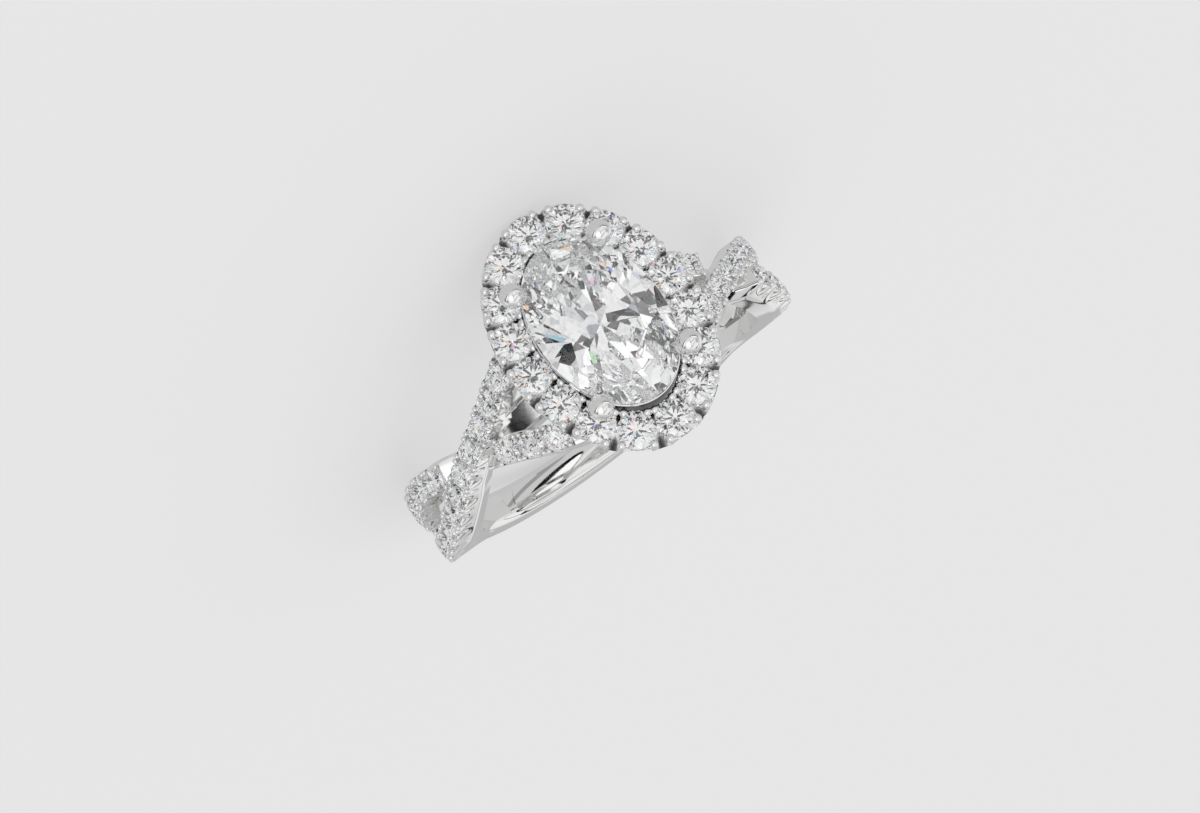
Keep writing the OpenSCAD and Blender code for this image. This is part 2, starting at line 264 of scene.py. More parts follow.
class Shape:
    """Points and faces gathered from several surfaces, for one piece."""

    def __init__(self):
        self.points = []
        self.faces = []
        self.shade_share = []
        self.count = 0

    def add(self, points, faces, shade_share=None):
        """Adds a surface. The last argument gives each point's share of painted shade, 0 to 1: a darker,
        rougher surface standing in for the shade in recesses.
        """
        points = np.asarray(points, float).reshape(-1, 3)
        self.faces += [tuple(i + self.count for i in f) for f in faces]
        self.points.append(points)
        self.shade_share.append(np.zeros(len(points)) if shade_share is None else np.asarray(shade_share, float).reshape(-1))
        self.count += len(points)

    def add_loft(self, loops, closed=False, shade_share=None):
        """Skins closed loops of equal length, with a cap on each end unless the loops join up."""
        loops = np.asarray(loops, float)
        rows, columns = loops.shape[:2]
        faces = grid_faces(rows, columns, wrap_rows=closed, wrap_columns=True)
        if closed:
            self.add(loops, faces, shade_share)
            return
        if shade_share is not None:
            shade_share = np.concatenate([np.asarray(shade_share, float).reshape(-1), [0, 0]])
        points = np.concatenate([loops.reshape(-1, 3), [loops[0].mean(0)], [loops[-1].mean(0)]])
        start, end = rows * columns, rows * columns + 1
        last = (rows - 1) * columns
        for j in range(columns):
            k = (j + 1) % columns
            faces.append((start, k, j))
            faces.append((end, last + j, last + k))
        self.add(points, faces, shade_share)

    def add_ball(self, centre, axes, rings=10, segments=16):
        """An ellipsoid with the three half-axes given as vectors."""
        axes = np.asarray(axes, float)
        lat = np.linspace(0, np.pi, rings + 1)[1:-1]
        lon = np.arange(segments) * 2 * np.pi / segments
        la, lo = np.meshgrid(lat, lon, indexing="ij")
        unit = np.stack([np.sin(la) * np.cos(lo), np.sin(la) * np.sin(lo), np.cos(la)], -1)
        points = np.concatenate([unit.reshape(-1, 3), [[0, 0, 1], [0, 0, -1]]]) @ axes + centre
        faces = [f[::-1] for f in grid_faces(rings - 1, segments, wrap_columns=True)]
        top, bottom = (rings - 1) * segments, (rings - 1) * segments + 1
        last = (rings - 2) * segments
        for j in range(segments):
            k = (j + 1) % segments
            faces.append((top, j, k)[::-1])
            faces.append((bottom, last + k, last + j)[::-1])
        if np.linalg.det(axes) < 0:
            faces = [f[::-1] for f in faces]
        self.add(points, [f[::-1] for f in faces])

    def add_bead(self, centre, axes, stem, rings=5, segments=14):
        """A bead on a stem that is so many half-axes long. The third half-axis points out of the metal."""
        axes = np.asarray(axes, float)
        a = np.arange(segments) * 2 * np.pi / segments
        circle = np.stack([np.cos(a), np.sin(a), 0 * a], -1)
        profile = [(0.9, -stem), (0.94, -0.3)]
        profile += [(math.cos(t), math.sin(t)) for t in np.linspace(0, 0.47 * math.pi, rings + 1)]
        loops = [(circle * r + (0, 0, h)) @ axes + centre for r, h in profile]
        self.add_loft(loops)

    def piece(self, name, material, sharp=35.0, smooth=True, slot="white_gold", replaces=()):
        mesh = bpy.data.meshes.new(name)
        mesh.from_pydata(place(np.concatenate(self.points)).tolist(), [], self.faces)
        mesh.validate()
        work = bmesh.new()
        work.from_mesh(mesh)
        bmesh.ops.recalc_face_normals(work, faces=work.faces)
        work.to_mesh(mesh)
        work.free()
        if smooth:
            mesh.shade_smooth()
            mesh.set_sharp_from_angle(angle=math.radians(sharp))
        # The points' shares of painted shade go to an attribute that the metal reads
        shade_share = np.concatenate(self.shade_share)
        if shade_share.any():
            mesh.attributes.new("painted_shade", "FLOAT", "POINT").data.foreach_set("value", shade_share.astype(np.float32))
        mesh.materials.append(material)
        obj = bpy.data.objects.new(name, mesh)
        bpy.context.scene.collection.objects.link(obj)
        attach(obj, "root")
        for node in replaces:
            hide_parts(node)
        if slot == "white_gold":
            obj.visible_transmission = False
        return obj


# Materials

class Nodes:
    """Short calls that build a node tree."""

    def __init__(self, tree):
        self.tree = tree
        tree.nodes.clear()

    def add(self, kind, **values):
        made = self.tree.nodes.new(kind)
        for key, value in values.items():
            setattr(made, key, value)
        return made

    def link(self, source, target):
        self.tree.links.new(source, target)

    def feed(self, socket, value):
        if isinstance(value, bpy.types.NodeSocket):
            self.link(value, socket)
        else:
            socket.default_value = value

    def math(self, operation, *values):
        made = self.add("ShaderNodeMath", operation=operation)
        for socket, value in zip(made.inputs, values):
            self.feed(socket, value)
        return made.outputs[0]

    def span(self, value, low, high, to_low=0.0, to_high=1.0, smooth=True):
        made = self.add("ShaderNodeMapRange", interpolation_type="SMOOTHSTEP" if smooth else "LINEAR")
        for socket, v in zip(made.inputs, (value, low, high, to_low, to_high)):
            self.feed(socket, v)
        return made.outputs[0]

    def mix(self, share, a, b):
        made = self.add("ShaderNodeMix", data_type="FLOAT")
        for key, value in (("Factor", share), ("A", a), ("B", b)):
            self.feed(made.inputs[key], value)
        return made.outputs["Result"]

    def mix_colour(self, share, a, b):
        """Mixes two colours, by the places of a Mix node's colour sockets."""
        made = self.add("ShaderNodeMix", data_type="RGBA")
        self.feed(made.inputs[0], share)
        self.feed(made.inputs[6], a)
        self.feed(made.inputs[7], b)
        return made.outputs[2]

    def background(self, colour):
        made = self.add("ShaderNodeBackground")
        self.feed(made.inputs["Color"], colour)
        return made.outputs[0]

    def dot(self, vector, direction):
        made = self.add("ShaderNodeVectorMath", operation="DOT_PRODUCT")
        self.feed(made.inputs[0], vector)
        made.inputs[1].default_value = direction
        return made.outputs["Value"]


POLISHED = (0.87, 0.87, 0.865, 1)
# Painted shade: the dark colour that recesses take on in place of real shade
PAINTED_SHADE_TONE = (0.16, 0.16, 0.165, 1)
ROUGHNESS_LEAST = 0.02
ROUGHNESS_MOST = 0.08
RECESS_ROUGHNESS = 0.3
CLOUD_SCALE = 900
MARK_SCALE = 5200
MARK_STRENGTH = 0.05
MARK_DEPTH = 0.00001
DIAMOND_IOR = 2.417


def polished_metal():
    """Polished white gold: fine wiping marks and a faint unevenness in an otherwise bright surface, and
    painted shade, a darker and rougher surface, wherever a piece marks shade in its recesses.
    """
    material = bpy.data.materials.new("white_gold")
    material.use_nodes = True
    n = Nodes(material.node_tree)
    out = n.add("ShaderNodeOutputMaterial")
    shader = n.add("ShaderNodeBsdfPrincipled")
    shader.inputs["Metallic"].default_value = 1
    # A point attribute carries each point's share of painted shade, which darkens the colour and roughens the
    # surface
    painted_shade = n.add("ShaderNodeAttribute", attribute_name="painted_shade").outputs["Fac"]
    n.link(n.mix_colour(painted_shade, POLISHED, PAINTED_SHADE_TONE), shader.inputs["Base Color"])
    where = n.add("ShaderNodeTexCoord").outputs["Object"]
    cloud = n.add("ShaderNodeTexNoise")
    n.link(where, cloud.inputs["Vector"])
    cloud.inputs["Scale"].default_value = CLOUD_SCALE
    cloud.inputs["Detail"].default_value = 4
    polish = n.span(cloud.outputs["Fac"], 0.3, 0.7, ROUGHNESS_LEAST, ROUGHNESS_MOST)
    n.link(n.math("MULTIPLY_ADD", painted_shade, RECESS_ROUGHNESS, polish), shader.inputs["Roughness"])
    fine = n.add("ShaderNodeTexNoise")
    n.link(where, fine.inputs["Vector"])
    fine.inputs["Scale"].default_value = MARK_SCALE
    fine.inputs["Detail"].default_value = 2
    bump = n.add("ShaderNodeBump")
    bump.inputs["Strength"].default_value = MARK_STRENGTH
    bump.inputs["Distance"].default_value = MARK_DEPTH
    n.link(fine.outputs["Fac"], bump.inputs["Height"])
    n.link(bump.outputs["Normal"], shader.inputs["Normal"])
    n.link(shader.outputs[0], out.inputs["Surface"])
    return material


def clear_diamond():
    """Clear cut diamond, which bends light strongly."""
    material = bpy.data.materials.new("diamond")
    material.use_nodes = True
    n = Nodes(material.node_tree)
    out = n.add("ShaderNodeOutputMaterial")
    glass = n.add("ShaderNodeBsdfGlass")
    glass.inputs["Color"].default_value = (1, 1, 1, 1)
    glass.inputs["IOR"].default_value = DIAMOND_IOR
    glass.inputs["Roughness"].default_value = 0
    n.link(glass.outputs[0], out.inputs["Surface"])
    return material


METAL = polished_metal()
DIAMOND = clear_diamond()

# The strands: a row of stones let into each, held by beads, over a scalloped wall

# Places of the cross-sections from a stone towards its neighbour, as shares of the pitch
PATTERN = [0, 0.05, 0.1, 0.16, 0.22, 0.28, 0.33, 0.37, 0.41, 0.44, 0.47]
PLAIN_STATIONS = 110
LEAST_STATION_STEP = 0.02
STRAND_END = 90.02
LOWER_WALL_ROWS = 4
WALL_ROWS = 10
TOP_COLUMNS = 26
# A scallop lies beside each stone and a narrow split between two, both as shares of the pitch
SCALLOP_HALF = 0.3
SPLIT_HALF = 0.08
EDGE_DROP = 0.24
SPLIT_DROP = 0.12
LEAST_DROP = 0.02
PLAIN_DROP = 0.05
SCALLOP_CUT = 0.1
SPLIT_CUT = 0.08
WALL_PLAIN = 0.3
WALL_LEAN = 0.07
LIP_START = 0.62
STRAND_SINK = 0.14
STRAND_SINK_REACH = 0.1
# How much painted shade darkens the strand's sunken top beside its stones
STRAND_PAINTED_SHADE = 0.5
SEAT_R = STRAND_SHOWN_D / 2 + SEAT_GAP
SEAT_WALL = GIRDLE * STRAND_SHOWN_D
SEAT_DEPTH = PAVILION * STRAND_SHOWN_D
BEAD_ALONG = 0.5
BEAD_ASIDE = 0.53
BEAD_LIFT = 0.02
BEAD_R = (0.13, 0.12, 0.125)
BEAD_STEM = 3.0


def strand_stations(stones):
    """Lengths of the cross-sections along a strand: many at each stone, few on the plain parts."""
    lengths = []
    for s in stones:
        for t in PATTERN:
            lengths += [s + t * STRAND_PITCH, s - t * STRAND_PITCH]
        lengths += [s + 0.5 * STRAND_PITCH, s - 0.5 * STRAND_PITCH]
    low, high = 0.0, length_at(STRAND_END)
    lengths += list(np.linspace(low, high, PLAIN_STATIONS))
    lengths = np.unique(np.round([x for x in lengths if low <= x <= high], 3))
    keep = [lengths[0]]
    for x in lengths[1:]:
        if x - keep[-1] > LEAST_STATION_STEP:
            keep.append(x)
    return np.array(keep)


def strand_section(s, stones, lift):
    """Cross-section at length s: its angle, the (across, radius) pairs round it, and how much painted shade
    darkens each.
    """
    angle = float(angle_at(s))
    top = float(strand_top(angle, lift))
    under = float(strand_bottom(angle, lift))
    low = max(under, FINGER_R)
    half = STRAND_W / 2
    waist = top - 0.5 * (top - under)
    flat = STRAND_FLAT_W / 2 + (half - STRAND_FLAT_W / 2) * (low - under) / (waist - under)
    offset = s - stones
    nearest = float(np.abs(offset).min())
    t = nearest / STRAND_PITCH
    ahead, behind = bool((offset < 0).any()), bool((offset >= 0).any())
    between = ahead and behind
    scallop = max(0.0, 1 - t / SCALLOP_HALF)
    split = max(0.0, 1 - (0.5 - t) / SPLIT_HALF) if between and t <= 0.5 else 0.0
    drop = EDGE_DROP * scallop + SPLIT_DROP * split + LEAST_DROP
    cut = max(SCALLOP_CUT * scallop, SPLIT_CUT * split)
    plain = t > 0.5 + 1e-6
    if plain:
        drop, cut = PLAIN_DROP, 0.0
    reach = half - WALL_LEAN - cut
    edge_r = top - drop
    points = [(0.0, low), (flat, low)]
    for k in range(1, LOWER_WALL_ROWS):
        share = k / LOWER_WALL_ROWS
        points.append((flat + (half - flat) * share, low + (waist - low) * share))
    for k in range(WALL_ROWS + 1):
        share = k / WALL_ROWS
        r = waist + (edge_r - waist) * share
        cut_share = max(0.0, share - WALL_PLAIN) / (1 - WALL_PLAIN)
        points.append((half - WALL_LEAN * share - cut * cut_share, r))
    shade_share = [0.0] * len(points)
    seat_line = []
    for k in range(1, TOP_COLUMNS):
        u = reach * math.cos(math.pi * k / TOP_COLUMNS)
        d = math.hypot(nearest, u)
        height = 0.0
        if d < SEAT_R:
            height = -SEAT_WALL - SEAT_DEPTH * (1 - d / SEAT_R)
        elif not plain:
            height = -STRAND_SINK * min(1.0, (d - SEAT_R) / STRAND_SINK_REACH)
        lip = max(0.0, (abs(u) - LIP_START * reach) / ((1 - LIP_START) * reach))
        # Painted shade deepens as the top sinks between the seats
        shade_share.append(STRAND_PAINTED_SHADE * min(1.0, -height / STRAND_SINK) if d >= SEAT_R else 0.0)
        height = min(height, -drop * lip * lip)
        seat_line.append((u, top + height))
    points += seat_line
    mirrored = [(-u, r) for u, r in points[1:LOWER_WALL_ROWS + WALL_ROWS + 2]]
    points += mirrored[::-1]
    shade_share += [0.0] * len(mirrored)
    return angle, np.array(points), shade_share


def strand_stone_rows(spans):
    return np.concatenate([stone_lengths(low, high) for low, high in spans])


def half_turn(points, turned):
    """Half a turn about the stone axis, for the ring's other half."""
    return np.asarray(points) * ((-1, -1, 1) if turned else (1, 1, 1))


def build_strand(name, side, lift, spans, turned, replaces=()):
    stones = strand_stone_rows(spans)
    shape = Shape()
    loops, shade_share = [], []
    for s in strand_stations(stones):
        angle, section, section_shade_share = strand_section(s, stones, lift)
        shade_share.append(section_shade_share)
        middle = axis_point(np.array(angle), section[:, 1], side)
        loop = middle + across(np.array(angle), side) * section[:, :1]
        loops.append(half_turn(loop, turned))
    shape.add_loft(loops, shade_share=shade_share)
    for s, end, hand in itertools.product(stones, (-1, 1), (-1, 1)):
        angle = np.array(float(angle_at(s + end * BEAD_ALONG)))
        top = strand_top(angle, lift)
        aside, out = across(angle, side), outward(angle)
        along = np.cross(out, aside)
        centre = axis_point(angle, top + BEAD_LIFT, side) + aside * hand * BEAD_ASIDE
        axes = [aside * BEAD_R[0], along * BEAD_R[1], out * BEAD_R[2]]
        shape.add_bead(half_turn(centre, turned), half_turn(axes, turned), BEAD_STEM)
    return shape.piece(name, METAL, replaces=replaces)


def build_strands():
    """The four strands. The first one hides the CAD mount, in whose place all the metal pieces stand."""
    replaces = ["ring_mount"]
    for half, turned in HALVES.items():
        for level, (side, lift, spans) in LEVELS.items():
            build_strand(f"strand_{half}_{level}", side, lift, spans, turned, replaces)
            replaces = []


build_strands()

# The plain lower shank: flat sides, rounded outer edges and a soft inner edge

INNER_CROWN = 0.045
INNER_EDGE_RISE = 1.4
CURVE_STEPS = 8
SHANK_OVERRUN = 20
SHANK_STATIONS = 181


def shank_section():
    """Cross-section of the shank, as (across, radius) pairs from the middle of its inside and round."""
    half, flat = SHANK_W / 2, SHANK_FLAT_W / 2
    waist = FINGER_R + (half - flat) * INNER_EDGE_RISE
    shares = [k / CURVE_STEPS for k in range(CURVE_STEPS + 1)]
    right = [(flat * share, FINGER_R + INNER_CROWN * share ** 2) for share in shares]
    inner = right[-1][1]
    for share in shares[1:]:
        a = share * math.pi / 2
        right.append((flat + (half - flat) * math.sin(a), inner + (waist - inner) * (1 - math.cos(a))))
    right.append((half, (waist + SHANK_R - SHANK_EDGE_R) / 2))
    centre = (half - SHANK_EDGE_R, SHANK_R - SHANK_EDGE_R)
    for share in shares:
        a = share * math.pi / 2
        right.append((centre[0] + SHANK_EDGE_R * math.cos(a), centre[1] + SHANK_EDGE_R * math.sin(a)))
    left = [(-u, r) for u, r in right[1:]][::-1]
    return np.array(right + [(0.0, SHANK_R)] + left)


def build_shank():
    shape = Shape()
    section = shank_section()
    top_angle = MERGE_ANGLE + SHANK_OVERRUN
    loops = []
    for angle in np.radians(np.linspace(180 - top_angle, 360 + top_angle, SHANK_STATIONS)):
        x, z = section[:, 1] * math.cos(angle), section[:, 1] * math.sin(angle)
        loops.append(np.stack([x, section[:, 0], z], -1))
    shape.add_loft(loops)
    return shape.piece("lower_shank", METAL)


build_shank()

# The halo: an oval plate with a seat for each stone, a groove between neighbours, and beads at the corners

# Places of the cross-sections from one groove to the next, as shares of the pitch
HALO_PATTERN = [-0.5, -0.47, -0.44, -0.41, -0.37, -0.32, -0.26, -0.2, -0.13, -0.07,
                0, 0.07, 0.13, 0.2, 0.26, 0.32, 0.37, 0.41, 0.44, 0.47]
HALO_SEAT_R = HALO_SHOWN_D / 2 + SEAT_GAP
HALO_SEAT_WALL = GIRDLE * HALO_SHOWN_D / 2
HALO_COLUMNS = 30
HALO_WALL_ROWS = 7
GROOVE_HALF = 0.14
GROOVE_DEPTH = 0.3
GROOVE_LEAST = 0.35
GROOVE_NOTCH = 0.07
NOTCH_ROWS = 3
HALO_SINK = 0.34
HALO_SINK_REACH = 0.24
HALO_INNER_LIP = 0.06
HALO_WALL_LEAN = 0.3
HALO_WALL_STEP = 0.02
HALO_UNDER_PLACES = (-0.5, 0.0, 0.4)
# Painted shade on the halo's sunken top and its inner wall: its most, and the depth where it starts
HALO_PAINTED_SHADE = 0.68
HALO_PAINTED_SHADE_FROM = 0.08
# The beads outside the row of stones (1) and inside it (-1)
HALO_BEAD_ASIDE = {1: 0.69, -1: 0.74}
HALO_BEAD_ALONG = {1: 0.3, -1: 0.23}
HALO_BEAD_R = 0.205
HALO_BEAD_LIFT = 0.03
HALO_BEAD_STEM = 2.6


def halo_top(d, v, groove):
    """Height and share of painted shade of the plate's top, d from the nearest stone's middle and v across
    the plate.
    """
    if d < HALO_SEAT_R:
        return -HALO_SEAT_WALL - PAVILION * HALO_SHOWN_D * (1 - d / HALO_SEAT_R), 0.0
    height = -HALO_SINK * float(ease(d, HALO_SEAT_R, HALO_SEAT_R + HALO_SINK_REACH))
    height -= GROOVE_DEPTH * groove * min(1.0, GROOVE_LEAST + abs(v))
    return height, float(ease(-height, HALO_PAINTED_SHADE_FROM, HALO_SINK + GROOVE_DEPTH)) * HALO_PAINTED_SHADE


def halo_section(middle, normal, centres, groove):
    """Cross-section of the plate: over its top from outside to inside, down, and back along its underside."""
    loop, shade_share = [], []

    def add(v, z, value):
        p = middle + normal * v
        loop.append((p[0], p[1], z))
        shade_share.append(value)

    for k in range(HALO_COLUMNS + 1):
        v = (RIM_REACH - GROOVE_NOTCH * groove) * math.cos(math.pi * k / HALO_COLUMNS)
        v -= HALO_INNER_LIP * (0.5 - 0.5 * math.cos(math.pi * k / HALO_COLUMNS))
        d = float(np.linalg.norm(centres - (middle + normal * v), axis=1).min())
        height, value = halo_top(d, v, groove)
        add(v, PLATE_TOP + height, value)
    outer_z, inner_z = loop[0][2], loop[HALO_COLUMNS][2]
    rows = []
    for k in range(1, HALO_WALL_ROWS + 1):
        z = PLATE_TOP + (PLATE_BOTTOM - PLATE_TOP) * k / HALO_WALL_ROWS
        rows.append((k, z, GROOVE_NOTCH * groove * max(0.0, 1 - k / NOTCH_ROWS)))
    for k, z, notch in rows:
        # The inner wall gets the full painted shade
        add(-(RIM_REACH + HALO_INNER_LIP - notch), min(z, inner_z - HALO_WALL_STEP * k), HALO_PAINTED_SHADE)
    for place_at in HALO_UNDER_PLACES:
        add(RIM_REACH * place_at, PLATE_BOTTOM, 0.0)
    for k, z, notch in rows[::-1]:
        v = RIM_REACH - notch - HALO_WALL_LEAN * k / HALO_WALL_ROWS
        add(v, min(z, outer_z - HALO_WALL_STEP * k), 0.0)
    return loop, shade_share


def build_halo():
    shape = Shape()
    centres = oval_point(HALO_HALF, halo_turn_at(np.arange(HALO_COUNT) * HALO_PITCH))
    sections = []
    for i, t in itertools.product(range(HALO_COUNT), HALO_PATTERN):
        turn = float(halo_turn_at((i + t) * HALO_PITCH))
        groove = max(0.0, 1 - (0.5 - abs(t)) * HALO_PITCH / GROOVE_HALF)
        middle, normal = oval_point(HALO_HALF, turn), oval_normal(HALO_HALF, turn)
        sections.append(halo_section(middle, normal, centres, groove))
    loops, shade_share = zip(*sections)
    shape.add_loft(loops, closed=True, shade_share=shade_share)
    for i, end, out in itertools.product(range(HALO_COUNT), (-1, 1), (-1, 1)):
        turn = halo_turn_at((i + end * 0.5) * HALO_PITCH - end * HALO_BEAD_ALONG[out])
        p = oval_point(HALO_HALF, turn) + oval_normal(HALO_HALF, turn) * out * HALO_BEAD_ASIDE[out]
        centre = (p[0], p[1], PLATE_TOP + HALO_BEAD_LIFT)
        shape.add_bead(centre, np.eye(3) * HALO_BEAD_R, HALO_BEAD_STEM, rings=7, segments=18)
    return shape.piece("halo_plate", METAL)


build_halo()


# The head under the halo: collet, rails and the four wires with their balls

def ring_loops(half, z, section, steps=96):
    """A section of (outward, up) pairs carried round an oval."""
    loops = []
    for turn in np.arange(steps) * 360 / steps:
        p, n = oval_point(half, turn), oval_normal(half, turn)
        loops.append([(p[0] + n[0] * u, p[1] + n[1] * u, z + w) for u, w in section])
    return loops


def rounded_box(width, height, r, steps=4):
    """A rectangle with rounded corners, centred across, from 0 up."""
    points = []
    corners = [(width / 2 - r, r, -90), (width / 2 - r, height - r, 0), (-width / 2 + r, height - r, 90),
               (-width / 2 + r, r, 180)]
    for x, y, start in corners:
        for k in range(steps + 1):
            a = math.radians(start + 90 * k / steps)
            points.append((x + r * math.cos(a), y + r * math.sin(a)))
    return points


# Any direction that no wire points in; each circle's first point is square to it
ROLL_GUIDE = (0.3, 0.2, 1.0)


def round_path(points, radius, segments=24):
    """Circles about a path of points, each facing along it."""
    a = np.arange(segments) * 2 * np.pi / segments
    loops = []
    for i, p in enumerate(points):
        ahead = points[min(i + 1, len(points) - 1)] - points[max(i - 1, 0)]
        ahead /= np.linalg.norm(ahead)
        side = np.cross(ahead, ROLL_GUIDE)
        side /= np.linalg.norm(side)
        up = np.cross(side, ahead)
        loops.append(p + radius * (np.cos(a)[:, None] * side + np.sin(a)[:, None] * up))
    return loops


PRONG_TURN = 45
PRONG_FOOT_SINK = 0.4
WIRE_STEPS = 12
TIP_STEPS = 6
WIRE_SMOOTHINGS = 2
COLLET_HALF = np.array([0.92, 0.8]) * CENTRE_HALF[0]
COLLET_SINK = 0.6
COLLET_EDGE_R = 0.18
RAIL_EDGE_R = 0.2


def prong_points(sx, sy):
    """Foot and knee of a prong's wire and the middle of its ball."""
    s = np.array([sx, sy])
    foot = np.append(oval_point(COLLET_HALF, PRONG_TURN) * s, COLLET_TOP - PRONG_FOOT_SINK)
    knee_half = PLATE_HOLE_HALF - (PRONG_WIRE_D / 2 - KNEE_BITE)
    knee = np.append(oval_point(knee_half, PRONG_TURN) * s, PLATE_TOP + KNEE_RISE)
    out = oval_normal(CENTRE_HALF, PRONG_TURN) * (PRONG_BALL_D / 2 - PRONG_GRIP)
    ball = np.append((oval_point(CENTRE_HALF, PRONG_TURN) + out) * s, CENTRE_Z + PRONG_BALL_RISE)
    return foot, knee, ball


def build_prongs():
    shape = Shape()
    for sx, sy in itertools.product((-1, 1), (-1, 1)):
        foot, knee, ball = prong_points(sx, sy)
        path = [foot + (knee - foot) * t for t in np.linspace(0, 1, WIRE_STEPS + 1)]
        path += [knee + (ball - knee) * t for t in np.linspace(0, 1, TIP_STEPS + 1)[1:]]
        path = np.array(path)
        for _ in range(WIRE_SMOOTHINGS):
            path[1:-1] = (path[:-2] + 2 * path[1:-1] + path[2:]) / 4
        shape.add_loft(round_path(path, PRONG_WIRE_D / 2))
        shape.add_ball(ball, np.eye(3) * PRONG_BALL_D / 2, rings=24, segments=32)
    return shape.piece("prongs", METAL)


OVAL_STEPS = 128
# Sections carried round the oval, each point as (the oval's half-lengths, height), and how much painted shade
# darkens each: the rim close round the centre stone, and the floor of the gap between that rim and the halo
GALLERY_WALL = [
    (CENTRE_HALF - 0.21, PLATE_TOP - 0.4),
    (CENTRE_HALF - 0.12, PLATE_TOP - 0.4),
    (CENTRE_HALF + 0.03, PLATE_TOP + 0.38),
    (CENTRE_HALF + 0.05, PLATE_TOP + 0.4),
    (CENTRE_HALF + 0.11, PLATE_TOP + 0.44),
    (CENTRE_HALF + 0.11, PLATE_TOP + 0.52),
    (CENTRE_HALF + 0.07, PLATE_TOP + 0.56),
    (CENTRE_HALF - 0.03, PLATE_TOP + 0.55),
]
# Painted shade on the lower points of the rim
WALL_PAINTED_SHADE = [0, 1, 0.8, 0.3, 0, 0, 0, 0]
GALLERY_TRAY = [
    (CENTRE_HALF - 0.3, PLATE_TOP - 0.5),
    (PLATE_HOLE_HALF + 0.03, PLATE_TOP - 0.5),
    (PLATE_HOLE_HALF + 0.03, PLATE_TOP - 0.35),
    (CENTRE_HALF - 0.3, PLATE_TOP - 0.35),
]
# Painted shade all over the tray
TRAY_PAINTED_SHADE = [0.4, 0.4, 0.4, 0.4]


def oval_loops(section):
    loops = []
    for turn in np.arange(OVAL_STEPS) * 360 / OVAL_STEPS:
        loops.append([(*oval_point(half, turn), z) for half, z in section])
    return loops


def build_head():
    """The collet, the rail that ties the prongs, the rim round the centre stone and the floor beside it."""
    shape = Shape()
    collet = rounded_box(2 * RAIL_T, COLLET_H + COLLET_SINK, COLLET_EDGE_R)
    shape.add_loft(ring_loops(COLLET_HALF, FINGER_R - COLLET_SINK, collet), closed=True)
    mid_z = (COLLET_TOP + PLATE_BOTTOM) / 2
    foot, knee = prong_points(1, 1)[:2]
    point = foot + (knee - foot) * (mid_z - COLLET_TOP) / (knee[2] - COLLET_TOP)
    ratio = CENTRE_HALF[1] / CENTRE_HALF[0]
    mid_half = np.array([1, ratio]) * math.hypot(point[0], point[1] / ratio)
    shape.add_loft(ring_loops(mid_half, mid_z, rounded_box(RAIL_T, RAIL_T, RAIL_EDGE_R)), closed=True)
    for section, shade_share in ((GALLERY_WALL, WALL_PAINTED_SHADE), (GALLERY_TRAY, TRAY_PAINTED_SHADE)):
        shape.add_loft(oval_loops(section), closed=True, shade_share=[shade_share] * OVAL_STEPS)
    return shape.piece("head_rails", METAL)


ARCH_TOP = 9.7
ARCH_BOTTOM = FINGER_R + 0.1
ARCH_HALF = 0.75
ARCH_CHAMFER = 0.14
# Painted shade all over the arches, a slight darkening
ARCH_PAINTED_SHADE = 0.1
ARCH_ANGLES = np.linspace(45, 74, 24)
# Across the arch and out, from one lower corner over the top to the other; the first edge has a wider slope
ARCH_SECTION = [
    (-ARCH_HALF, ARCH_BOTTOM),
    (-ARCH_HALF, ARCH_TOP - 2 * ARCH_CHAMFER),
    (ARCH_CHAMFER - ARCH_HALF, ARCH_TOP - ARCH_CHAMFER),
    (2.5 * ARCH_CHAMFER - ARCH_HALF, ARCH_TOP),
    (ARCH_HALF - ARCH_CHAMFER, ARCH_TOP),
    (ARCH_HALF, ARCH_TOP - ARCH_CHAMFER),
    (ARCH_HALF, ARCH_BOTTOM),
]


def build_arches():
    """The narrow arch on each side that carries the head, low between the two strands."""
    shape = Shape()
    for turned in HALVES.values():
        loops = []
        for a in np.radians(ARCH_ANGLES):
            loop = [(r * math.cos(a), y, r * math.sin(a)) for y, r in ARCH_SECTION]
            loops.append(half_turn(loop, turned))
        shape.add_loft(loops, shade_share=np.full((len(loops), len(ARCH_SECTION)), ARCH_PAINTED_SHADE))
    return shape.piece("head_arches", METAL, sharp=15)


build_prongs()
build_head()
build_arches()

# The stones: round and oval brilliants with flat facets and a girdle that follows the true oval

# Places of a cut's corners, as shares of the girdle's radius, and its crown's height, as a share of its width
TABLE = 0.57
STAR_R = 0.8
LOWER_HALF_R = 0.22
CROWN = 0.15
MAINS = 8
CENTRE_GIRDLE_STEPS = 6
SMALL_GIRDLE_STEPS = 3


def plane_z(a, b, c, xy):
    """Height at xy of the plane through three points."""
    n = np.cross(b - a, c - a)
    return a[2] - ((xy[0] - a[0]) * n[0] + (xy[1] - a[1]) * n[1]) / n[2]


